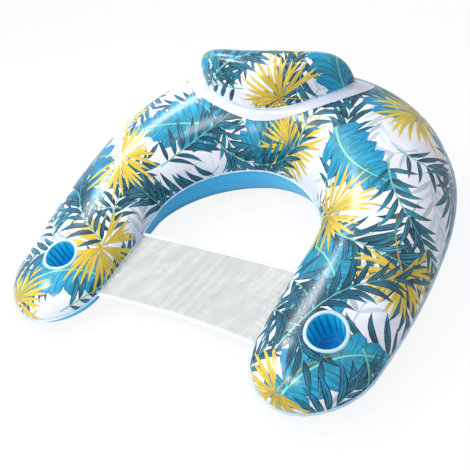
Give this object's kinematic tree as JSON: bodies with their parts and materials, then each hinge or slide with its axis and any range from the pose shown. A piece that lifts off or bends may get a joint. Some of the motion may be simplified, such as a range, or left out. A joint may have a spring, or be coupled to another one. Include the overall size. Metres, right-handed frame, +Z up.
{
  "type": "inflatable pool chair",
  "caption": "Inflatable U-shaped pool chair with a half-moon headrest, a cup holder in each arm and a net seat slung between the arms",
  "frame": {"origin": "middle of the chair's box, on the floor it lies on", "axes": "+Z up, the open front with the legs' gap faces -Y, +X is to the sitter's left"},
  "size_m": [1.18, 1.0738, 0.498],
  "materials": {
    "printed_film": "glossy PVC film with a leaf print in teal, blue, navy and yellow on white",
    "pale_blue_film": "glossy light-blue PVC film",
    "white_film": "glossy white PVC film, unprinted",
    "ring_film": "pale blue-white PVC weld ring",
    "deep_blue_film": "glossy deep-blue PVC film, pleated",
    "net_cloth": "light grey net cloth with a soft sheen",
    "tape_cloth": "white binding tape",
    "clear_plastic": "milky clear soft PVC"
  },
  "bodies": {
    "root": {"ring_top_skin": "printed_film", "ring_bottom_skin": "pale_blue_film", "pillow_top_skin": "printed_film", "pillow_bottom_skin": "pale_blue_film", "pillow_margin": "white_film", "cup_ring_left": "ring_film", "cup_ring_right": "ring_film", "cup_wall_left": "deep_blue_film", "cup_wall_right": "deep_blue_film", "cup_floor_left": "deep_blue_film", "cup_floor_right": "deep_blue_film", "seat_mesh": "net_cloth", "seat_front_hem": "tape_cloth", "seat_rear_hem": "tape_cloth", "seat_strip_left": "tape_cloth", "seat_strip_right": "tape_cloth", "main_valve_flange": "clear_plastic", "pillow_valve_flange": "clear_plastic"},
    "main_stem": {"main_valve_stem": "clear_plastic"},
    "main_plug": {"main_valve_plug": "clear_plastic"},
    "main_flap": {"main_valve_flap": "clear_plastic"},
    "pillow_stem": {"pillow_valve_stem": "clear_plastic"},
    "pillow_plug": {"pillow_valve_plug": "clear_plastic"},
    "pillow_flap": {"pillow_valve_flap": "clear_plastic"}
  },
  "joints": [
    {"name": "main_valve_slide", "type": "slide", "parent": "root", "child": "main_stem", "axis": [0.5409, 0.6815, -0.4929], "range_m": [0, 0.014]},
    {"name": "main_plug_hinge", "type": "hinge", "parent": "main_stem", "child": "main_plug", "pos_m": [0.37817, 0.43, 0.11149], "axis": [0.7168, -0.6801, -0.1537], "range_deg": [0, 150]},
    {"name": "main_flap_hinge", "type": "hinge", "parent": "main_stem", "child": "main_flap", "pos_m": [0.36384, 0.41302, 0.11977], "axis": [-0.7168, 0.6801, 0.1537], "range_deg": [0, 45], "stiffness_Nm_per_rad": 0.0002, "springref_deg": -8.59},
    {"name": "pillow_valve_slide", "type": "slide", "parent": "root", "child": "pillow_stem", "axis": [-0.0729, 0.8774, 0.4741], "range_m": [0, 0.014]},
    {"name": "pillow_plug_hinge", "type": "hinge", "parent": "pillow_stem", "child": "pillow_plug", "pos_m": [-0.1287, 0.3236, 0.46724], "axis": [0.9971, 0.0738, 0.0167], "range_deg": [0, 150]},
    {"name": "pillow_flap_hinge", "type": "hinge", "parent": "pillow_stem", "child": "pillow_flap", "pos_m": [-0.12707, 0.30487, 0.4528], "axis": [-0.9971, -0.0738, -0.0167], "range_deg": [0, 45], "stiffness_Nm_per_rad": 0.0002, "springref_deg": -8.59}
  ]
}
